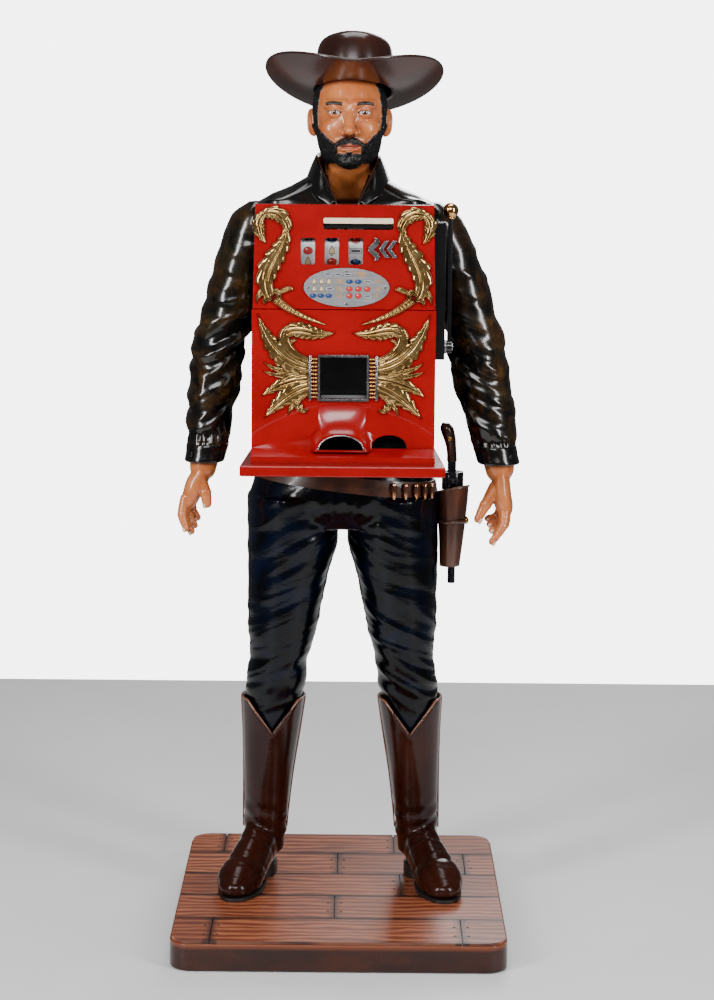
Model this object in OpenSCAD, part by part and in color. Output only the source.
// Free-standing mechanical slot machine carried in the chest of a life-size cowboy figure.
// Units are millimetres. +Z is up and the figure faces -Y. The origin is the centre of the
// plinth's underside. Left and right in a name are the figure's own, so right is -X.

/* [Plinth] */
// Width of the plinth
plinth_w = 696; // [660:4:760]
// Depth of the plinth
plinth_d = 760; // [720:4:840]
// Height of the deck's top above the floor
plinth_h = 64; // [54:2:90]
// Radius of the plinth's corners in plan
plinth_corner = 46; // [20:2:60]
// Wall of the moulded plinth
plinth_wall = 10; // [6:1:16]
// Thickness of the closing board under the plinth
floor_board_t = 12; // [9:1:18]
// Thickness of the deck boards
deck_t = 6; // [4:1:10]
// Rows of deck boards from front to back
deck_rows = 5; // [4:1:7]
// Gap between neighbouring deck boards
deck_gap = 2; // [1:0.5:4]
// Radius of a nail head
nail_r = 3.5; // [2.5:0.5:5]

/* [Figure] */
// Height of the hips' top, on which the cabinet's base board lies, above the deck
hip_h = 944; // [900:4:990]
// Wall of the moulded figure
figure_wall = 6; // [4:1:9]
// Radius of the steel post inside each leg
post_r = 17; // [12:1:20]
// Sideways offset of the head from the figure's centre
head_x = 8; // [0:2:14]
// Upward tilt of the hat's front in degrees
hat_tilt = 17; // [6:1:20]
// Radius of the hat's brim
brim_r = 185; // [165:1:195]
// Radius of the hat's crown at the brim
crown_r = 77; // [76:1:84]
// Half of the chest's width
chest_hw = 197; // [190:1:205]

/* [Cabinet] */
// Half of the cabinet case's width
case_hw = 170; // [160:1:176]
// Height of the cabinet case
case_h = 518; // [500:2:560]
// Thickness of the case's wooden walls
case_t = 12; // [9:1:15]
// Half of the lower front's width
lower_hw = 188; // [182:1:194]
// Height of the lower front
lower_h = 311; // [290:1:330]
// Half of the upper front's width at its top
upper_top_hw = 181; // [176:1:186]
// Depth of both front castings
front_d = 25; // [22:1:32]
// Wall of the front castings
front_wall = 7; // [5:1:9]
// Thickness of the cabinet's base board
base_board_t = 22; // [16:1:28]
// Half of the base board's width at its front edge
base_board_hw = 209; // [200:1:220]

/* [Mechanism] */
// Radius of the reels
reel_r = 72; // [60:1:74]
// Width of a reel strip
reel_w = 36; // [28:1:40]
// Distance between neighbouring reels
reel_pitch = 48.5; // [44:0.5:54]
// Stops on each reel
reel_stops = 20; // [10:2:24]
// Radius of the reel shaft
shaft_r = 5; // [4:0.5:7]
// Radius of the handle shaft
handle_shaft_r = 8; // [6:0.5:10]
// Length of the handle lever from its shaft to the knob
lever_len = 280; // [220:5:300]
// Radius of the handle's knob
knob_r = 16; // [12:1:20]

/* [Fits] */
// Gap between pieces that are assembled but don't move
seat_gap = 0.3; // [0.2:0.1:0.6]
// Radial clearance of a shaft that turns in its hole
run_gap = 0.08; // [0.05:0.01:0.1]

/* [Hidden] */
$fn = 48;
eps = 0.01;

// Heights of the stack
deck_z = plinth_h;
hip_z = deck_z + hip_h;
board_z = hip_z + base_board_t;
case_z0 = board_z;
case_z1 = case_z0 + case_h;
split_z = board_z + lower_h;
upper_z0 = split_z + 1.5;
upper_z1 = board_z + 524;
upper_bottom_hw = lower_hw - 2;
// Depths: the fronts' outer face, the case's front edge and its rear edge
front_y = -190;
case_y0 = front_y + front_d;
case_y1 = 90;
back_y = 150;
// Reels
reel_x = [-74, -74 + reel_pitch, -74 + 2 * reel_pitch];
reel_y = front_y + front_wall + 10 + reel_r;
reel_z = board_z + 430;
frame_x0 = -106;
frame_x1 = 54;
frame_t = 3;
// Windows in the fronts, as centre x, centre z, half width and half height
window_z = reel_z;
window_hw = 14.5;
window_hh = 27;
jackpot = [0, board_z + 172, 48, 43];
award = [5, board_z + 357, 87, 39.5];
coin_bar = [28, board_z + 486, 71, 12];
entry = [76, board_z + 435, 30, 26];
cup_x = -4;
cup_hw = 46;
cup_h = 30;
return_x = 95;
return_hw = 36;
cup_floor_z = board_z + 27;
// Handle
handle_y = -127;
handle_z = board_z + 232;
housing_hw0 = case_hw + seat_gap;
housing_x1 = 207;
lever_x = housing_x1 + 10;

// ---------------------------------------------------------------- shared shapes

// An upright block with round corners in plan, made of exact solids
module rounded_slab(w, d, h, r) {
    translate([-w / 2 + r, -d / 2, 0]) cube([w - 2 * r, d, h]);
    translate([-w / 2, -d / 2 + r, 0]) cube([w, d - 2 * r, h]);
    for (x = [-1, 1], y = [-1, 1])
        translate([x * (w / 2 - r), y * (d / 2 - r), 0]) cylinder(r = r, h = h);
}

// A thin oval disc of a limb; a station is [x, y, z, half width, half depth]
module disc(s) {
    translate([s[0], s[1], s[2]]) scale([s[3] / 50, s[4] / 50, 1])
        cylinder(r = 50, h = 0.4, center = true, $fn = 20);
}

// A limb is the chain of its stations
module limb(stations) {
    for (i = [0:len(stations) - 2]) hull() {
        disc(stations[i]);
        disc(stations[i + 1]);
    }
}

// The same limb, larger or smaller all round
function grown(stations, g) = [for (s = stations) [s[0], s[1], s[2], s[3] + g, s[4] + g]];
// The same limb on the other side
function mirrored(stations, side) =
    [for (s = stations) [side * s[0], s[1], s[2], s[3], s[4]]];

// A finger or other round chain; a joint is [x, y, z, radius]
module chain(joints) {
    for (i = [0:len(joints) - 2]) hull() for (j = [joints[i], joints[i + 1]])
        translate([j[0], j[1], j[2]]) sphere(r = j[3], $fn = 10);
}

// A thin rounded layer of the chest; a layer is [z, half width, front y, back y, corner]
module chest_layer(l, g) {
    c = l[4] + g;
    for (x = [-1, 1], y = [l[2] - g + c, l[3] + g - c])
        translate([x * (l[1] + g - c), y, l[0]]) cylinder(r = c, h = 0.4, $fn = 24);
}

module chest_shape(layers, g) {
    for (i = [0:len(layers) - 2]) hull() {
        chest_layer(layers[i], g);
        chest_layer(layers[i + 1], g);
    }
}

// A plate in the cabinet's front plane, with its outer face at y
module front_plate(points, y, t) {
    translate([0, y + t, 0]) rotate([90, 0, 0]) linear_extrude(t) polygon(points);
}

// A straight-sided hole through a front: [centre x, centre z, half width, half height]
module front_hole(w, y, depth, r = 4) {
    translate([w[0], y + depth, w[1]]) rotate([90, 0, 0]) {
        translate([-w[2] + r, -w[3], 0]) cube([2 * (w[2] - r), 2 * w[3], depth]);
        translate([-w[2], -w[3] + r, 0]) cube([2 * w[2], 2 * (w[3] - r), depth]);
        for (x = [-1, 1], z = [-1, 1])
            translate([x * (w[2] - r), z * (w[3] - r), 0]) cylinder(r = r, h = depth);
    }
}

// An arch that stands on the cup's floor, as outline points
function arch(x, hw, h, n = 14) =
    concat([[x - hw, 0]], [for (i = [1:n - 1]) [x - hw * cos(180 * i / n),
        h * pow(sin(180 * i / n), 0.8)]], [[x + hw, 0]]);

// ---------------------------------------------------------------- plinth

module plinth_shell() color("saddlebrown") difference() {
    shell_h = plinth_h - deck_t;
    hull() {
        for (x = [-1, 1], y = [-1, 1]) {
            translate([x * (plinth_w / 2 - plinth_corner), y * (plinth_d / 2 - plinth_corner), 0]) {
                cylinder(r = plinth_corner - 3, h = 1, $fn = 32);
                translate([0, 0, 3]) cylinder(r = plinth_corner, h = shell_h - 3, $fn = 32);
            }
        }
    }
    translate([0, 0, -eps]) rounded_slab(plinth_w - 2 * plinth_wall, plinth_d - 2 * plinth_wall,
        shell_h - plinth_wall, plinth_corner - plinth_wall);
    post_holes(shell_h + 1);
}

// Clearance holes for the leg posts through the plinth
module post_holes(h) for (side = [-1, 1])
    translate([side * post_x, post_y, -1]) cylinder(r = post_r + 1, h = h + 1);

module plinth_floor_board() color("burlywood") difference() {
    rounded_slab(plinth_w - 2 * plinth_wall - 2 * seat_gap, plinth_d - 2 * plinth_wall - 2 * seat_gap,
        floor_board_t, plinth_corner - plinth_wall - seat_gap);
    for (side = [-1, 1]) translate([side * post_x, post_y, 0]) {
        translate([0, 0, -1]) cylinder(r = post_r * 0.5 + seat_gap, h = floor_board_t + 2);
        translate([0, 0, -1]) cylinder(r = post_r + 3, h = 7);
    }
}

row_d = plinth_d / deck_rows;
// Places of the butt joints in each row, from the front row to the back row, in half widths
deck_joints = [[-0.76, 0.73], [-0.03], [-0.51, 0.38], [-0.02, 0.80], [-0.77, 0.35],
    [0.1], [-0.6, 0.5]];
function row_ends(r) = concat([-1], deck_joints[r], [1]);

module deck_boards() color("peru") difference() {
    deck_t0 = plinth_h - deck_t;
    intersection() {
        translate([0, 0, deck_t0]) rounded_slab(plinth_w - 8, plinth_d - 8, deck_t, plinth_corner - 4);
        for (r = [0:deck_rows - 1], b = [0:len(row_ends(r)) - 2]) {
            x0 = row_ends(r)[b] * plinth_w / 2 + deck_gap / 2;
            x1 = row_ends(r)[b + 1] * plinth_w / 2 - deck_gap / 2;
            translate([x0, -plinth_d / 2 + r * row_d + deck_gap / 2, deck_t0])
                cube([x1 - x0, row_d - deck_gap, deck_t]);
        }
    }
    nails(nail_r + 0.05, deck_t + 2);
    post_holes(plinth_h + 1);
}

// Two nails on each side of every butt joint
module nails(r, h) for (row = [0:deck_rows - 1], j = deck_joints[row], s = [-1, 1], n = [-1, 1])
    translate([j * plinth_w / 2 + s * 14, -plinth_d / 2 + (row + 0.5 + 0.18 * n) * row_d,
        plinth_h - deck_t + (h > deck_t ? -1 : 0)]) cylinder(r = r, h = h, $fn = 24);

module deck_nails() color("dimgray") nails(nail_r, deck_t);

// ---------------------------------------------------------------- legs

post_x = 166;
post_y = 78;
post_top = deck_z + 190;
module leg_posts() color("gray") for (side = [-1, 1])
    translate([side * post_x, post_y, floor_board_t]) {
        cylinder(r = post_r, h = post_top - floor_board_t);
        translate([0, 0, -floor_board_t + 1.5]) cylinder(r = post_r * 0.5, h = floor_board_t);
    }

module post_nuts() color("silver") for (side = [-1, 1])
    translate([side * post_x, post_y, 1.5]) difference() {
        cylinder(r = post_r - 1, h = 4.5, $fn = 6);
        translate([0, 0, -1]) cylinder(r = post_r * 0.5 + run_gap, h = 7);
    }

// Stations of one leg, from the hip down, measured from the deck
leg = [[108, 40, deck_z + 846, 99, 122], [108, 38, deck_z + 770, 99, 112],
    [115, 36, deck_z + 709, 91, 104], [122, 34, deck_z + 647, 83, 97],
    [128, 32, deck_z + 585, 77, 90], [134, 32, deck_z + 523, 66, 80],
    [142, 38, deck_z + 460, 64, 76], [148, 48, deck_z + 406, 60, 68],
    [152, 54, deck_z + 336, 55, 62]];
hips = [[0, 36, hip_z, 176, 118], [0, 36, deck_z + 896, 194, 124],
    [0, 38, deck_z + 846, 203, 124], [0, 40, deck_z + 785, 190, 96]];
crotch_z = deck_z + 785;

module lower_body(g) {
    intersection() {
        limb(grown(hips, g));
        translate([-400, -400, crotch_z]) cube([800, 800, hip_z - crotch_z]);
    }
    for (side = [-1, 1]) limb(grown(mirrored(leg, side), g));
}

module trousers() color("midnightblue") difference() {
    intersection() {
        lower_body(0);
        translate([-400, -400, leg[8][2]]) cube([800, 800, hip_z - leg[8][2]]);
    }
    lower_body(-figure_wall);
    translate([-400, -400, hip_z - eps]) cube([800, 800, 50]);
}

// A boot's shaft, from its top down to the ankle
shaft = [[149, 48, deck_z + 412, 69, 78], [153, 54, deck_z + 336, 62, 71],
    [160, 62, deck_z + 240, 54, 62], [166, 74, deck_z + 145, 49, 54],
    [168, 80, deck_z + 95, 47, 52]];
// A boot's foot, from its heel to its toe: [x, y, z, half width, half length, half height]
foot = [[173, 92, deck_z + 66, 36, 40, 48], [181, 50, deck_z + 74, 41, 46, 56],
    [197, 0, deck_z + 54, 44, 46, 46], [215, -56, deck_z + 34, 50, 44, 36],
    [224, -94, deck_z + 24, 38, 36, 24]];

toe_out = 12;
module foot_blob(f) translate([f[0], f[1], f[2]]) rotate([0, 0, toe_out])
    scale([f[3] / 50, f[4] / 50, f[5] / 50]) sphere(r = 50, $fn = 16);

module boot(side) color("saddlebrown") difference() {
    mirror([side < 0 ? 1 : 0, 0, 0]) difference() {
        union() {
            limb(shaft);
            for (i = [0:len(foot) - 2]) hull() {
                foot_blob(foot[i]);
                foot_blob(foot[i + 1]);
            }
            hull() {
                disc(shaft[4]);
                foot_blob(foot[0]);
            }
            hull() {
                disc(shaft[4]);
                foot_blob(foot[1]);
            }
        }
        // the scalloped top dips to a point at the front
        translate([0, 0, deck_z + 412]) rotate([90, 0, 0]) translate([0, 0, -300])
            linear_extrude(600) polygon([[140, -72], [80, 14], [80, 60], [240, 60], [240, 14]]);
        intersection() {
            limb(grown(leg, seat_gap + 0.4));
            translate([0, -300, leg[8][2] - 0.3]) cube([400, 600, 200]);
        }
        intersection() {
            limb(grown(shaft, -figure_wall));
            translate([0, -300, deck_z + 60]) cube([400, 600, 400]);
        }
        translate([post_x, post_y, deck_z - 1]) cylinder(r = post_r + 1.5, h = post_top - deck_z + 4);
        translate([0, -300, deck_z - 100]) cube([400, 700, 100 + sole_t + seat_gap]);
        translate([0, 0, deck_z]) heel_block(heel_h + seat_gap, 1.5);
    }
}

sole_t = 7;
heel_h = 28;
module heel_block(h, g) linear_extrude(h) hull() {
    translate([172, 97]) circle(r = 31 + g, $fn = 28);
    translate([176, 72]) circle(r = 32 + g, $fn = 28);
}

module boot_soles() color("black") for (side = [0, 1]) mirror([side, 0, 0]) translate([0, 0, deck_z])
    difference() {
        union() {
            linear_extrude(sole_t) hull() {
                translate([216, -58]) circle(r = 48, $fn = 32);
                translate([225, -98]) circle(r = 32, $fn = 32);
                translate([200, -4]) circle(r = 38, $fn = 32);
            }
            heel_block(heel_h, 0);
        }
        translate([post_x, post_y, -1]) cylinder(r = post_r + 1.5, h = 60);
    }

// ---------------------------------------------------------------- gun belt and holster

// The belt hangs lower towards the left hip
belt_w = 34;
belt_t = 5;
belt_tilt = 6.5;
module gun_belt() color("sienna") difference() {
    union() {
        intersection() {
            limb(grown(hips, belt_t));
            belt_slab(belt_w);
        }
        // loops for the cartridges
        at_cartridges() {
            cylinder(r = cartridge_r + 1.6, h = 13);
            translate([-cartridge_r - 6, -4, 0]) cube([cartridge_r + 6, 8, 13]);
        }
    }
    limb(grown(hips, seat_gap));
    at_cartridges() translate([0, 0, -1]) cylinder(r = cartridge_r + run_gap, h = 15, $fn = 24);
}

module belt_slab(w) translate([0, 0, hip_z - 42]) rotate([0, belt_tilt, 0])
    translate([-300, -300, -w / 2]) cube([600, 600, w]);

// Cartridges stand in loops on the belt's front left, on an oval just outside it
cartridges = 5;
cartridge_r = 4.6;
function hip_at(z, i) = lookup(z, [for (h = hips) [h[2], h[i]]]);
module at_cartridges() for (i = [0:cartridges - 1]) {
    a = -58 + i * 8.5;
    z = hip_z - 46 - 200 * cos(a) * tan(belt_tilt);
    half_w = hip_at(z, 3) + belt_t;
    half_d = hip_at(z, 4) + belt_t;
    outwards = atan2(half_w * sin(a), half_d * cos(a));
    translate([half_w * cos(a), 36 + half_d * sin(a), z]) rotate([0, 0, outwards])
        translate([cartridge_r + seat_gap, 0, 0]) children();
}
module belt_cartridges() color("gold") at_cartridges() {
    translate([0, 0, -8]) cylinder(r = cartridge_r, h = 26, $fn = 24);
    translate([0, 0, -17]) cylinder(r1 = 2.4, r2 = cartridge_r, h = 9, $fn = 24);
}

gun_x = 236;
gun_y = 28;
gun_top = deck_z + 881;
barrel_z = deck_z + 672;
holster_stations = [[gun_x, gun_y, gun_top, 33, 29], [gun_x - 2, gun_y, gun_top - 90, 27, 24],
    [gun_x - 5, gun_y, gun_top - 165, 21, 17]];
module holster() color("saddlebrown") difference() {
    union() {
        limb(holster_stations);
        // the drop loop that joins it to the belt
        hull() {
            translate([gun_x - 31, gun_y - 14, gun_top - 46]) cube([10, 28, 30]);
            translate([gun_x - 33, gun_y - 14, gun_top - 4]) cube([5, 28, 14]);
        }
    }
    limb(grown([for (i = [0:2]) [holster_stations[i][0], holster_stations[i][1],
        holster_stations[i][2] + (i == 0 ? 1 : i == 2 ? -1 : 0), holster_stations[i][3],
        holster_stations[i][4]]], -5));
    limb(grown(hips, 5 + seat_gap));
    limb(grown(leg, 1));
}

module revolver_cylinder() color("dimgray") translate([gun_x - 1, gun_y, gun_top - 4]) difference() {
    cylinder(r = 23.3, h = 38);
    translate([0, 0, -1]) cylinder(r = 3, h = 40);
    for (i = [0:5]) rotate([0, 0, i * 60]) translate([13.5, 0, -1]) cylinder(r = 5, h = 40, $fn = 24);
}

module revolver_frame() color("black") translate([gun_x - 1, gun_y, 0]) {
    // barrel down through the holster
    translate([0, 0, barrel_z]) difference() {
        cylinder(r = 8, h = gun_top - 8 - barrel_z);
        translate([0, 0, -1]) cylinder(r = 4.5, h = 120);
    }
    translate([-4, 0, 0]) {
        translate([-6, -6, gun_top - 8.5]) cube([12, 12, 4.2]);
        translate([-7, -7, gun_top + 34.5]) cube([18, 14, 30]);
    }
    translate([0, 0, gun_top - 4.5]) cylinder(r = 2.9, h = 40);
}

grip = [[gun_x - 3, gun_y, gun_top + 60, 10], [gun_x - 4, gun_y, gun_top + 84, 10],
    [gun_x - 7, gun_y, gun_top + 104, 12], [gun_x - 14, gun_y, gun_top + 126, 14]];
module revolver_grip() color("maroon") difference() {
    chain(grip);
    translate([gun_x - 40, gun_y - 30, gun_top + 20]) cube([80, 60, 44.5 + seat_gap]);
}

// ---------------------------------------------------------------- torso, arms and head

chest = [[board_z, 184, -72, back_y, 66], [board_z + 170, 190, -80, back_y, 70],
    [board_z + 350, chest_hw - 1, -88, back_y, 72], [board_z + 450, chest_hw, -84, back_y, 68],
    [board_z + 512, chest_hw - 2, -66, 138, 56], [board_z + 556, 118, -42, 116, 48],
    [board_z + 582, 74, -24, 98, 44]];
chest_top = board_z + 582;
// The hatch in the shirt's back, as a front_hole list, and its rim's depth
hatch = [0, board_z + 210, 100, 190];
// The collar's opening at the front, as an outline in the front's plane
neckline = [[-22, board_z + 524], [26, board_z + 524], [62, chest_top + 30], [-46, chest_top + 30]];
module shirt_torso() color("black") difference() {
    intersection() {
        chest_shape(chest, 0);
        translate([-chest_hw, -300, board_z]) cube([2 * chest_hw, 600, chest_top - board_z]);
    }
    difference() {
        chest_shape(chest, -figure_wall);
        translate([-300, -300, chest_top - 8]) cube([600, 600, 50]);
    }
    // room for the cabinet, open at the front and at the bottom
    translate([-case_hw - 2, -300, board_z - 1])
        cube([2 * case_hw + 4, 300 + case_y1 + 2, case_h + 3]);
    translate([-100, -60, board_z - 1]) cube([200, back_y + 60 - figure_wall, 20]);
    front_hole([hatch[0], hatch[1], hatch[2] + 1, hatch[3] + 1], back_y - 12, 40, 8);
    // neck socket and open collar
    translate([head_x, 40, chest_top - 40]) cylinder(r = neck_r + 0.6, h = 80, $fn = 36);
    front_plate([for (p = neckline) [p[0] * 1.02, p[1]]], -100, 130);
    handle_clearance();
}

// The collar stands round the neck and is open at the front
module shirt_collar() color("black") difference() {
    translate([head_x, 42, chest_top + seat_gap]) rotate_extrude()
        polygon([[61, 0], [74, 0], [71, 42], [66, 42]]);
    translate([0, 0, 0.5]) front_plate([[-30, chest_top - 10], [40, chest_top - 10],
        [76, chest_top + 50], [-60, chest_top + 50]], -100, 130);
}

neck_r = 52;
module handle_clearance() translate([case_hw - 20, handle_y - 45, handle_z - 30])
    cube([80, 90, 400]);

// Stations of the sleeves, from the shoulder to the wrist
left_arm = [[186, 32, board_z + 516, 26, 40], [190, 32, board_z + 500, 50, 56],
    [197, 32, board_z + 470, 61, 64], [222, 32, board_z + 410, 62, 66], [245, 32, board_z + 350, 62, 65],
    [260, 30, board_z + 290, 61, 62], [279, 26, board_z + 230, 62, 60], [290, 20, board_z + 170, 61, 58],
    [301, 10, board_z + 110, 58, 55], [313, -2, board_z + 50, 54, 51], [321, -10, board_z + 12, 48, 46]];
right_arm = [[-186, 32, board_z + 516, 26, 40], [-188, 32, board_z + 500, 48, 56],
    [-192, 32, board_z + 470, 60, 64], [-211, 32, board_z + 410, 61, 66], [-229, 32, board_z + 350, 61, 65],
    [-243, 30, board_z + 290, 60, 62], [-264, 26, board_z + 230, 57, 60], [-272, 20, board_z + 170, 56, 57],
    [-278, 10, board_z + 110, 53, 54], [-286, -2, board_z + 50, 49, 50], [-288, -10, board_z + 12, 46, 46]];

module sleeve(stations) color("black") difference() {
    limb(stations);
    limb(grown(stations, -figure_wall));
    // seam against the chest
    chest_shape(chest, seat_gap);
}

left_wrist = [[322, -11, board_z + 11.5, 43, 42], [328, -16, board_z - 20, 41, 41],
    [335, -22, board_z - 57, 43, 42]];
right_wrist = [[-289, -11, board_z + 11.5, 42, 41], [-294, -16, board_z - 20, 38, 39],
    [-297, -22, board_z - 50, 39, 40]];

module cuff(stations) color("black") difference() {
    limb(stations);
    limb(grown([for (i = [0:len(stations) - 1]) [stations[i][0], stations[i][1],
        stations[i][2] + (i == 0 ? -8 : i == 2 ? -1 : 0), stations[i][3], stations[i][4]]], -figure_wall));
}

// Hands as chains of joints: the wrist and palm, then the thumb and four fingers
left_hand_chains = [
    [[331, -18.6, board_z - 36, 34.5], [335, -24, board_z - 62, 27], [338, -27, board_z - 92, 29],
        [344, -28, board_z - 118, 25]],
    [[326, -30, board_z - 78, 17], [303, -38, board_z - 112, 12], [288, -42, board_z - 142, 9.5]],
    [[344, -40, board_z - 118, 13], [340, -52, board_z - 155, 10.5], [318, -58, board_z - 188, 8]],
    [[346, -28, board_z - 122, 12.5], [344, -32, board_z - 156, 10.5], [318, -42, board_z - 166, 8.5]],
    [[345, -16, board_z - 118, 12], [338, -16, board_z - 150, 10], [314, -26, board_z - 156, 8]],
    [[340, -6, board_z - 112, 11], [330, -4, board_z - 140, 9], [310, -12, board_z - 146, 7.5]]];
right_hand_chains = [
    [[-295.3, -18.6, board_z - 33, 31.8], [-301, -24, board_z - 54, 26], [-316, -28, board_z - 78, 28],
        [-326, -28, board_z - 102, 23]],
    [[-304, -34, board_z - 60, 16], [-292, -42, board_z - 90, 11.5], [-288, -46, board_z - 114, 9.5]],
    [[-334, -40, board_z - 104, 12], [-342, -48, board_z - 138, 10], [-332, -54, board_z - 166, 8]],
    [[-332, -30, board_z - 108, 12], [-338, -34, board_z - 146, 10], [-322, -40, board_z - 174, 8]],
    [[-328, -18, board_z - 106, 11.5], [-330, -18, board_z - 140, 9.5], [-316, -24, board_z - 164, 7.5]],
    [[-320, -8, board_z - 100, 10.5], [-322, -4, board_z - 128, 8.5], [-310, -8, board_z - 150, 7]]];

module hand(chains) color("peru") for (c = chains) chain(c);

// The head, from the neck up to the hat's sweatband
head_stations = [[head_x, 40, chest_top - 36, neck_r, neck_r], [head_x, 40, chest_top + 1, neck_r, neck_r],
    [head_x, 38, chest_top + 14, 54, 56],
    [head_x, 18, chest_top + 22, 44, 74], [head_x, 10, chest_top + 50, 62, 88],
    [head_x, 14, chest_top + 96, 73, 92], [head_x, 20, chest_top + 150, 77, 96],
    [head_x, 22, chest_top + 215, 74, 92]];
hat_x = head_x + 8;
hat_y = 28;
hat_roll = 1.2;
band_z = chest_top + 168;
skull = [[0, -30], [72, -30], [72, 42], [64, 72], [42, 88], [0, 94]];
module head() color("peru") {
    difference() {
        union() {
            limb(head_stations);
            // nose and ears
            hull() {
                translate([head_x, -82, chest_top + 118]) sphere(r = 9, $fn = 16);
                translate([head_x, -100, chest_top + 90]) sphere(r = 12, $fn = 16);
                translate([head_x, -76, chest_top + 84]) sphere(r = 17, $fn = 16);
            }
            for (side = [-1, 1]) hull() {
                translate([head_x + side * 80, 30, chest_top + 122]) sphere(r = 12, $fn = 16);
                translate([head_x + side * 74, 24, chest_top + 82]) sphere(r = 9, $fn = 16);
            }
        }
        hat_frame() translate([-300, -300, -0.5]) cube([600, 600, 300]);
    }
    hat_frame() intersection() {
        rotate_extrude($fn = 32) polygon(skull);
        translate([-300, -300, -0.7]) cube([600, 600, 300]);
    }
    // the skin that shows in the open collar
    intersection() {
        chest_shape(chest, -2);
        front_plate([for (p = neckline) [p[0] * 0.98, p[1] + 0.5]], -100, 128);
        translate([-300, -300, board_z + 524]) cube([600, 600, 60]);
    }
}

// The hat's own frame: its brim's root is at z 0
module hat_frame() translate([hat_x, hat_y, band_z]) rotate([-hat_tilt, hat_roll, 0]) children();

// Height of the brim's edge by its azimuth from the front: its sides curl up
brim_t = 5;
function edge_rise(a) = 8 + 42 * pow(abs(sin(a)), 1.3) * (1 + 0.3 * cos(a));
function brim_z(r, a) = edge_rise(a) * pow(max(0, (r - crown_r - 6) / (brim_r - crown_r - 6)), 1.7);
// Rings of the hat from the opening's edge, round the brim's rim and up the crown
hat_sides = 40;
hat_rings = [[crown_r, 0, 1], [crown_r + 30, 0, 1], [crown_r + 60, 0, 1], [brim_r - 18, 0, 1],
    [brim_r, 0.6, 1], [brim_r, brim_t - 0.6, 1], [brim_r - 18, brim_t, 1], [crown_r + 60, brim_t, 1],
    [crown_r + 30, brim_t, 1], [crown_r + 6, brim_t + 1, 1], [crown_r, 12, 0], [crown_r - 1, 60, 0],
    [crown_r - 7, 92, 0], [crown_r - 22, 114, 0], [crown_r - 46, 125, 0]];
hat_top = 129;
module hat() color("saddlebrown") hat_frame() difference() {
    n = hat_sides;
    rings = len(hat_rings);
    points = concat([for (g = hat_rings, i = [0:n - 1]) let (a = i * 360 / n)
        [g[0] * sin(a), -g[0] * cos(a), g[1] + (g[2] > 0 ? brim_z(g[0], a) : 0)]],
        [[0, 0, 0], [0, 0, hat_top]]);
    faces = concat(
        [for (k = [0:rings - 2], i = [0:n - 1]) [k * n + i, (k + 1) * n + i, (k + 1) * n + (i + 1) % n]],
        [for (k = [0:rings - 2], i = [0:n - 1]) [k * n + i, (k + 1) * n + (i + 1) % n, k * n + (i + 1) % n]],
        [for (i = [0:n - 1]) [rings * n, i, (i + 1) % n]],
        [for (i = [0:n - 1]) let (k = (rings - 1) * n) [rings * n + 1, k + (i + 1) % n, k + i]]);
    polyhedron(points, faces);
    rotate_extrude() polygon([for (p = skull) [p[0] > 0 ? p[0] + 0.5 : 0, p[1] + (p[1] > 0 ? 0.5 : 0)]]);
}

// ---------------------------------------------------------------- rear door

door_t = 7;
hinge_x = -hatch[2] - 7;
hinge_y = back_y + 6;
module rear_door() color("black") difference() {
    union() {
        front_hole([hatch[0], hatch[1], hatch[2], hatch[3]], back_y - door_t, door_t, 8);
        for (z = [-1, 0, 1]) translate([hinge_x, hinge_y, hatch[1] + 110 * z - 22])
            cylinder(r = 5, h = 44, $fn = 32);
        for (z = [-1, 0, 1]) translate([hinge_x, back_y, hatch[1] + 110 * z - 22])
            cube([26, 8, 44]);
    }
    for (z = [-1, 0, 1]) translate([hinge_x, hinge_y, hatch[1] + 110 * z - 40])
        cylinder(r = 2 + run_gap, h = 80, $fn = 32);
    translate([hatch[2] - 22, back_y - 20, hatch[1]]) rotate([-90, 0, 0])
        cylinder(r = 9 + run_gap, h = 40, $fn = 32);
}

// Pins with their fixed knuckles and leaves on the shirt's back
module rear_door_hinge() color("silver") for (z = [-1, 0, 1])
    translate([hinge_x, hinge_y, hatch[1] + 110 * z]) {
        translate([0, 0, -37]) cylinder(r = 2, h = 74, $fn = 32);
        for (s = [-1, 1]) translate([0, 0, s * 30]) {
            translate([0, 0, -7.5]) cylinder(r = 5, h = 15, $fn = 32);
            translate([-26, -hinge_y + back_y + seat_gap, -7.5]) cube([26, 4.5, 15]);
        }
    }

cam_t = 4;
cam_y = back_y - door_t - seat_gap - cam_t;
module rear_door_lock() color("gold") translate([hatch[2] - 22, 0, hatch[1]]) rotate([-90, 0, 0]) {
    translate([0, 0, cam_y]) cylinder(r = 9, h = back_y + 2 - cam_y, $fn = 32);
    translate([0, 0, back_y + seat_gap]) cylinder(r = 13, h = 4, $fn = 32);
    translate([-6, -6, cam_y]) cube([12, 38, cam_t]);
}

// ---------------------------------------------------------------- cabinet

module base_board() color("firebrick") difference() {
    translate([0, 0, hip_z]) linear_extrude(base_board_t) polygon([[-base_board_hw, -268],
        [base_board_hw, -268], [190, 165], [-190, 165]]);
}

module cabinet_case() color("black") difference() {
    translate([-case_hw, case_y0, case_z0]) cube([2 * case_hw, case_y1 - case_y0, case_h]);
    translate([-case_hw + case_t, case_y0 - 1, case_z0 + case_t])
        cube([2 * (case_hw - case_t), case_y1 - case_y0 + 2, case_h - 2 * case_t]);
    translate([case_hw - case_t - 1, handle_y, handle_z]) rotate([0, 90, 0])
        cylinder(r = handle_shaft_r + run_gap, h = case_t + 2);
    // coin slot in the top
    translate([tube_x - slot_w / 2, tube_y - slot_y, case_z1 - case_t - 1]) cube([slot_w, slot_t, case_t + 2]);
}

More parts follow.
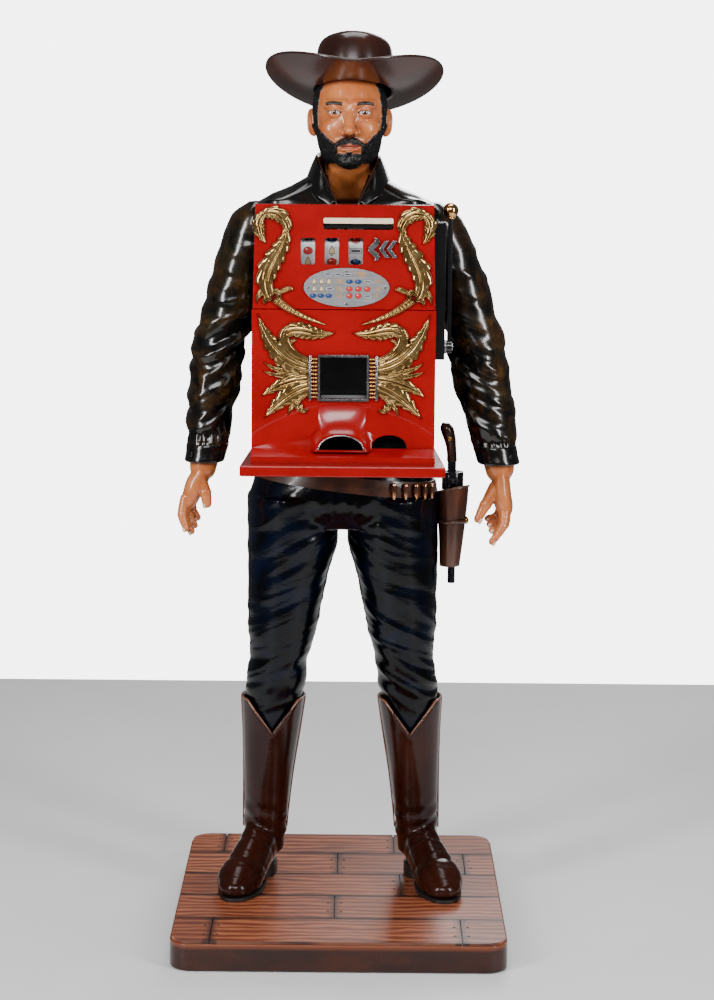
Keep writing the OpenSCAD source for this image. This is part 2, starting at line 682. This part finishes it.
function lower_outline(g) = [[-lower_hw + g, board_z + g], [lower_hw - g, board_z + g],
    [lower_hw - g, split_z - g], [-lower_hw + g, split_z - g]];
function upper_outline(g) = [[-upper_bottom_hw + g, upper_z0 + g], [upper_bottom_hw - g, upper_z0 + g],
    [upper_top_hw - g, upper_z1 - g], [-upper_top_hw + g, upper_z1 - g]];

module lower_front() color("crimson") difference() {
    union() {
        front_plate(lower_outline(0), front_y, front_d - seat_gap);
        // the sloping ledge over the base board
        translate([-lower_hw, 0, 0]) rotate([90, 0, 90]) linear_extrude(2 * lower_hw)
            polygon([[front_y + 1, board_z], [front_y - 44, board_z], [front_y - 44, board_z + 14],
                [front_y + 1, cup_floor_z]]);
        // hood over the payout cup
        hull() {
            front_plate([for (p = arch(cup_x, cup_hw + 9, cup_h + 8)) [p[0], p[1] + cup_floor_z - 4]],
                front_y - 30, 3);
            front_plate([for (p = arch(cup_x, cup_hw + 16, 62)) [p[0], p[1] + cup_floor_z - 4]],
                front_y, 3);
        }
    }
    front_plate(lower_outline(front_wall), front_y + front_wall, front_d);
    front_hole(jackpot, front_y - 5, 20, 1);
    front_plate([for (p = arch(cup_x, cup_hw, cup_h)) [p[0], p[1] + cup_floor_z]], front_y - 60, 80);
    front_plate([for (p = arch(return_x, return_hw, cup_h - 2)) [p[0], p[1] + cup_floor_z]],
        front_y - 60, 80);
}

module upper_front() color("crimson") difference() {
    front_plate(upper_outline(0), front_y, front_d - seat_gap);
    front_plate(upper_outline(front_wall), front_y + front_wall, front_d);
    for (x = reel_x) front_hole([x, window_z, window_hw, window_hh], front_y - 5, 20, 4);
    front_hole(coin_bar, front_y - 5, 20, 4);
    for (a = [0:90:270]) award_pin(a) translate([0, 0, -9]) cylinder(r = 1.6, h = 12, $fn = 24);
}

// ---------------------------------------------------------------- ornaments on the front

// A leaf is a spine of four control points and a width; it tapers to both ends
function bezier(p, t) = pow(1 - t, 3) * p[0] + 3 * t * pow(1 - t, 2) * p[1]
    + 3 * t * t * (1 - t) * p[2] + pow(t, 3) * p[3];
function tangent(p, t) = let (d = bezier(p, t + 0.01) - bezier(p, t - 0.01)) d / norm(d);
function leaf_half(w, t, root) = w * (root + (1 - root) * pow(sin(180 * pow(t, 0.8)), 0.8)) * (1 - pow(t, 6));
function leaf_side(p, w, s, root, n = 12) = [for (i = [0:n]) let (t = i / n, d = tangent(p, t))
    bezier(p, t) + s * leaf_half(w, t, root) * [-d[1], d[0]]];
module leaf(p, w, root = 0.25) polygon(concat(leaf_side(p, w, 1, root),
    [for (i = [11:-1:0]) leaf_side(p, w, -1, root)[i]]));

// Control points are in the front's plane, from the cabinet's centre line and the board's top
lower_leaf_spines = [
    [[[-66, 190], [-110, 196], [-158, 226], [-176, 300]], 15],
    [[[-66, 206], [-112, 210], [-140, 274], [-92, 268]], 10],
    [[[-110, 262], [-92, 276], [-62, 262], [-22, 268]], 14],
    [[[-66, 178], [-110, 178], [-140, 186], [-160, 200]], 7],
    [[[-66, 168], [-104, 166], [-142, 156], [-164, 134]], 12],
    [[[-66, 156], [-96, 150], [-130, 126], [-158, 92]], 13],
    [[[-66, 146], [-86, 138], [-104, 116], [-110, 96]], 8],
    [[[-66, 138], [-92, 134], [-100, 104], [-74, 110]], 5]];
upper_scroll_spines = [
    [[[-150, 336], [-180, 400], [-96, 430], [-128, 488]], 21],
    [[[-132, 470], [-150, 506], [-184, 486], [-168, 442]], 12],
    [[[-154, 334], [-164, 342], [-176, 338], [-180, 322]], 6],
    [[[-150, 328], [-132, 322], [-112, 300], [-34, 280]], 9],
    [[[-140, 326], [-124, 344], [-112, 342], [-106, 352]], 7]];

module ornament(spines, side) color("goldenrod")
    translate([0, front_y - seat_gap, board_z]) rotate([90, 0, 0]) linear_extrude(7)
        mirror([side > 0 ? 1 : 0, 0, 0]) difference() {
            intersection() {
                union() for (s = spines) leaf(s[0], s[1]);
                translate([-lower_hw + 6, 60]) square([lower_hw - 10, 500]);
            }
            // clear of the upright bars
            translate([-bar_x - 3, jackpot[1] - board_z - jackpot[3] - 6]) square([100, 2 * jackpot[3] + 12]);
        }

module jackpot_frame() color("silver") difference() {
    front_hole([jackpot[0], jackpot[1], jackpot[2] + 4, jackpot[3] + 4], front_y - 6, 6 - seat_gap, 1);
    front_hole(jackpot, front_y - 10, 20, 1);
}

bin_d = 58;
module jackpot_bin() color("black") difference() {
    front_hole([jackpot[0], jackpot[1], jackpot[2] + 3, jackpot[3] + 3],
        front_y + front_wall + seat_gap, bin_d, 1);
    front_hole([jackpot[0], jackpot[1], jackpot[2] - 1, jackpot[3] - 1], front_y, bin_d, 1);
}

// Upright silver bars with gold rods between them and the frame
bar_x = 68;
fret_rods = 11;
module fret_bars() color("silver") for (side = [-1, 1]) {
    translate([side * bar_x - 2.5, front_y - 6, jackpot[1] - jackpot[3] - 5])
        cube([5, 6 - seat_gap, 2 * jackpot[3] + 10]);
    for (i = [0:fret_rods - 1])
        translate([side * (bar_x - 8) - 5.5, front_y - 3.2, jackpot[1] - 39 + i * 78 / (fret_rods - 1)])
            rotate([0, 90, 0]) cylinder(r = 2.6, h = 11, $fn = 20);
}

// Two open-fronted cups: under the hood for winnings, beside it for returned coins
cup_wall = 2;
module coin_cup(x, hw, h, y0, y1) difference() {
    front_plate([for (p = arch(x, hw - seat_gap, h - seat_gap)) [p[0], p[1] + cup_floor_z + 0.2]],
        y0, y1 - y0);
    front_plate([for (p = arch(x, hw - cup_wall - 1, h - cup_wall - 1))
        [p[0], p[1] + cup_floor_z + cup_wall]], y0 - 2, y1 - y0);
}
module payout_cup() color("silver") {
    coin_cup(cup_x, cup_hw, cup_h, front_y - 30, case_y0 + 4);
    coin_cup(return_x, return_hw, cup_h - 2, front_y + 0.5, case_y0 + 4);
}

module award_pin(a) translate([award[0] + 78 * cos(a), front_y, award[1] + 33 * sin(a)])
    rotate([90, 0, 0]) children();

module award_card() color("lightgray") difference() {
    translate([award[0], front_y - seat_gap, award[1]]) rotate([90, 0, 0]) linear_extrude(2)
        polygon([for (i = [0:47]) [award[2] * cos(i * 7.5), award[3] * sin(i * 7.5)]]);
    for (a = [0:90:270]) award_pin(a) translate([0, 0, -1]) cylinder(r = 1.7, h = 8, $fn = 24);
}

module award_card_pins() color("silver") for (a = [0:90:270]) award_pin(a) {
    translate([0, 0, -6]) cylinder(r = 1.5, h = 8.5, $fn = 24);
    translate([0, 0, 2.5]) cylinder(r = 2.8, h = 1.2, $fn = 24);
}

// The window over the last coins played: an ivory strip above a dark slot
module coin_window() color("ivory") {
    front_hole([coin_bar[0], coin_bar[1] + 5.8, coin_bar[2] - seat_gap, 5.6], front_y - 2, 8, 3);
    translate([coin_bar[0] - coin_bar[2] + 4, front_y + 5.7, coin_bar[1] - 10])
        cube([2 * coin_bar[2] - 8, 1.5, 16]);
}

// Silver plate around the coin entry: a scroll followed by two chevrons
module coin_entry_plate() color("silver")
    translate([entry[0], front_y - seat_gap, entry[1]]) rotate([90, 0, 0]) {
        for (s = [-1, 1]) linear_extrude(5) leaf([[-26, 0], [-14, 8 * s], [-2, 18 * s], [-16, 23 * s]], 5, 0.6);
        for (x = [2, 18]) linear_extrude(5)
            polygon([[x - 8, 0], [x + 4, 17], [x + 12, 17], [x + 1, 0], [x + 14, -17], [x + 5, -17]]);
    }

module reel_glass() color("lightcyan", 0.4)
    translate([reel_x[0] - 28, front_y + front_wall + seat_gap, window_z - 34])
        cube([reel_x[2] - reel_x[0] + 56, 2.5, 68]);

// ---------------------------------------------------------------- mechanism

module frame_side(x) difference() {
    union() {
        translate([x, case_y0 + 6, case_z0 + case_t + seat_gap])
            cube([frame_t, 150, reel_z - case_z0 - case_t + 20]);
    }
    translate([x - 1, reel_y, reel_z]) rotate([0, 90, 0])
        cylinder(r = shaft_r + run_gap, h = frame_t + 2);
    translate([x - 1, handle_y, handle_z]) rotate([0, 90, 0])
        cylinder(r = handle_shaft_r + run_gap, h = frame_t + 2);
    translate([x - 1, stop_y, stop_z]) rotate([0, 90, 0])
        cylinder(r = 4 + run_gap, h = frame_t + 2);
    // lightening hole
    translate([x - 1, reel_y + 20, case_z0 + 70]) rotate([0, 90, 0]) cylinder(r = 38, h = frame_t + 2);
}

stop_y = -34;
stop_z = reel_z - 75;
module mechanism_frame() color("darkgray") {
    frame_side(frame_x0);
    frame_side(frame_x1);
    for (z = [case_z0 + case_t + 8, jackpot[1] + 56])
        translate([frame_x0 + 1, -18, z]) cube([frame_x1 - frame_x0 + 1, 6, 10]);
    // bracket for the main spring's lower end
    translate([frame_x1 + 1, spring_y - 8, spring_z0 - 6]) cube([spring_x + 8 - frame_x1 - 1, 16, 6 - seat_gap]);
}

module reel_shaft() color("silver") {
    translate([frame_x0 - 5, reel_y, reel_z]) rotate([0, 90, 0])
        cylinder(r = shaft_r, h = frame_x1 - frame_x0 + frame_t + 10);
    // collars that keep the reels in their places
    for (x = reel_x) translate([x - reel_w / 2 - 5 - seat_gap, reel_y, reel_z]) rotate([0, 90, 0])
        cylinder(r = 9, h = 5);
    translate([reel_x[2] + hub_x1 + seat_gap, reel_y, reel_z]) rotate([0, 90, 0]) cylinder(r = 9, h = 5);
}

// A reel: strip, web with round windows, hub and toothed star wheel
module reel(x) color("white") translate([x, reel_y, reel_z]) rotate([0, 90, 0]) difference() {
    union() {
        difference() {
            translate([0, 0, -reel_w / 2]) cylinder(r = reel_r, h = reel_w);
            translate([0, 0, -reel_w / 2 - 1]) cylinder(r = reel_r - 2, h = reel_w + 2);
        }
        translate([0, 0, -1.5]) cylinder(r = reel_r - 1, h = 3);
        translate([0, 0, -reel_w / 2]) cylinder(r = 11, h = reel_w / 2 + hub_x1);
        translate([0, 0, star_x]) star_wheel();
    }
    translate([0, 0, -reel_w]) cylinder(r = shaft_r + run_gap, h = 2 * reel_w);
    for (a = [0:60:300]) rotate([0, 0, a]) translate([33, 0, -5]) cylinder(r = 12, h = 50);
}

// The toothed wheel sits beside the strip, where its stop lever can reach it
star_x = reel_w / 2 + 1.5;
star_t = 3;
hub_x1 = star_x + star_t;
star_r = 58;
module star_wheel() linear_extrude(star_t) polygon([for (i = [0:2 * reel_stops - 1])
    let (r = i % 2 == 0 ? star_r : star_r - 7, a = i * 180 / reel_stops) [r * cos(a), r * sin(a)]]);

// Stop levers on their own shaft below the reels
module stop_levers() color("gray") {
    translate([frame_x0 - 4, stop_y, stop_z]) rotate([0, 90, 0])
        cylinder(r = 4, h = frame_x1 - frame_x0 + frame_t + 8);
    for (x = reel_x) translate([x + star_x - 0.5, stop_y, stop_z]) rotate([90, 0, 90])
        linear_extrude(star_t + 1) polygon([[-6, 0], [6, 0], [4, 62], [-11, 58], [-4, 50]]);
}

housing_h = lever_len;
module handle_housing() color("black") difference() {
    translate([housing_hw0, handle_y - 34, handle_z - 24])
        cube([housing_x1 - housing_hw0, 68, housing_h]);
    translate([housing_hw0 + 6, handle_y - 28, handle_z - 18])
        cube([housing_x1 - housing_hw0 - 10, 56, housing_h - 12]);
    translate([housing_hw0 - 1, handle_y, handle_z]) rotate([0, 90, 0])
        cylinder(r = handle_shaft_r + run_gap, h = 60);
}

// The shaft, with its hub outside and its crank inside the case
module handle_shaft() color("silver") translate([0, handle_y, handle_z]) rotate([0, 90, 0]) {
    translate([0, 0, frame_x1 - 4]) cylinder(r = handle_shaft_r, h = lever_x + 8 - frame_x1 + 4);
    translate([0, 0, housing_x1 + 1]) cylinder(r = 14, h = 3);
    translate([0, 0, frame_x1 + 12]) difference() {
        hull() {
            cylinder(r = 15, h = 6, $fn = 32);
            translate([-8, spring_y - handle_y, 0]) cylinder(r = 8, h = 6, $fn = 32);
        }
        translate([-8, spring_y - handle_y, -1]) cylinder(r = 3, h = 8, $fn = 24);
    }
}

lever_bottom_w = 12;
lever_top_w = 20;
module handle_lever() color("black") difference() {
    translate([lever_x, handle_y, handle_z]) union() {
        rotate([0, 90, 0]) translate([0, 0, -5.5]) cylinder(r = 13, h = 11);
        hull() {
            translate([-4, -lever_bottom_w / 2, 0]) cube([8, lever_bottom_w, 1]);
            translate([-5, -lever_top_w / 2, lever_len - 20]) cube([10, lever_top_w, 1]);
        }
        translate([0, 0, lever_len - 20]) cylinder(r = 5, h = 20 + knob_r / 2);
    }
    translate([lever_x - 20, handle_y, handle_z]) rotate([0, 90, 0])
        cylinder(r = handle_shaft_r + 0.02, h = 40);
}

module handle_knob() color("goldenrod") translate([lever_x, handle_y, handle_z + lever_len])
    difference() {
        union() {
            sphere(r = knob_r);
            translate([0, 0, -knob_r - 3]) cylinder(r = 8, h = 6);
        }
        translate([0, 0, -60]) cylinder(r = 5 + 0.05, h = 60 + knob_r / 2 + 0.1);
    }

// The main spring pulls the shaft's crank back
spring_x = frame_x1 + 15;
spring_y = handle_y + 34;
spring_z0 = handle_z - 90;
spring_r = 6;
// Its closed coils are stacked rings; the wire's radius and the coils' rise
spring_wire_r = 1;
spring_pitch = 1.85;
module main_spring() color("dimgray") translate([spring_x, spring_y, spring_z0]) {
    coils = floor((handle_z - 4 - spring_z0 - 2 * spring_wire_r) / spring_pitch);
    rotate_extrude() for (i = [0:coils])
        translate([spring_r, spring_wire_r + i * spring_pitch]) circle(r = spring_wire_r, $fn = 16);
}

slot_w = 28;
slot_t = 5;
slot_y = 9;
slide_z = case_z0 + 60;
tube_x = 108;
tube_y = -145;
slide_w = 44;
module payout_slide() color("gray") difference() {
    translate([tube_x - slide_w / 2, tube_y - 12, slide_z]) cube([slide_w, 76, 3]);
    translate([tube_x, tube_y + 28, slide_z - 1]) cylinder(r = 13, h = 5);
}

// The tube that stores coins, on the bed that the payout slide runs on
module coin_tube() color("goldenrod") translate([tube_x, tube_y, 0]) {
    bed_z0 = case_z0 + case_t + seat_gap;
    difference() {
        union() {
            translate([0, 0, slide_z + 3 + seat_gap]) cylinder(r = 15, h = 104);
            translate([-28, -13, slide_z + 3 + seat_gap]) cube([56, 30, 4]);
        }
        translate([0, 0, slide_z + 2]) cylinder(r = 13, h = 120);
    }
    difference() {
        translate([-28, -13, bed_z0]) cube([56, 96, slide_z - seat_gap - bed_z0]);
        translate([-22.6, -40, bed_z0 - 1]) cube([45.2, 140, slide_z - bed_z0 - 3]);
    }
    // cheeks beside the slide carry the tube
    for (x = [-28, slide_w / 2 + seat_gap]) translate([x, -13, slide_z - seat_gap - 0.1])
        cube([28 - slide_w / 2 - seat_gap, 30, 4.1 + 2 * seat_gap]);
    // chute from the slot in the case's top, in front of the handle shaft
    translate([-slot_w / 2 - 2, -slot_y - 1.5, slide_z + 100]) difference() {
        cube([slot_w + 4, slot_t + 3, case_z1 - case_t - seat_gap - slide_z - 100]);
        translate([2, 1.5, -1]) cube([slot_w, slot_t, 600]);
    }
}

// The cash box stands at the back, behind the hatch, and lifts out through it
module cash_box() color("dimgray") difference() {
    translate([-88, case_y0 + 160, case_z0 + case_t + seat_gap]) cube([176, 88, 90]);
    translate([-86, case_y0 + 162, case_z0 + case_t + 2]) cube([172, 84, 100]);
}

// ---------------------------------------------------------------- drawing

plinth_shell();
plinth_floor_board();
deck_boards();
deck_nails();
leg_posts();
post_nuts();
boot(-1);  // right_boot
boot(1);  // left_boot
boot_soles();
trousers();
gun_belt();
belt_cartridges();
holster();
revolver_frame();
revolver_grip();
revolver_cylinder();
shirt_torso();
shirt_collar();
sleeve(right_arm);  // right_sleeve
sleeve(left_arm);  // left_sleeve
cuff(right_wrist);  // right_cuff
cuff(left_wrist);  // left_cuff
hand(right_hand_chains);  // right_hand
hand(left_hand_chains);  // left_hand
head();
hat();
rear_door();
rear_door_hinge();
rear_door_lock();
base_board();
cabinet_case();
lower_front();
upper_front();
ornament(lower_leaf_spines, -1);  // right_lower_leaves
ornament(lower_leaf_spines, 1);  // left_lower_leaves
ornament(upper_scroll_spines, -1);  // right_upper_scroll
ornament(upper_scroll_spines, 1);  // left_upper_scroll
jackpot_frame();
jackpot_bin();
fret_bars();
payout_cup();
award_card();
award_card_pins();
coin_window();
coin_entry_plate();
reel_glass();
mechanism_frame();
reel_shaft();
reel(reel_x[0]);  // reel_1
reel(reel_x[1]);  // reel_2
reel(reel_x[2]);  // reel_3
stop_levers();
handle_housing();
handle_shaft();
handle_lever();
handle_knob();
main_spring();
payout_slide();
coin_tube();
cash_box();
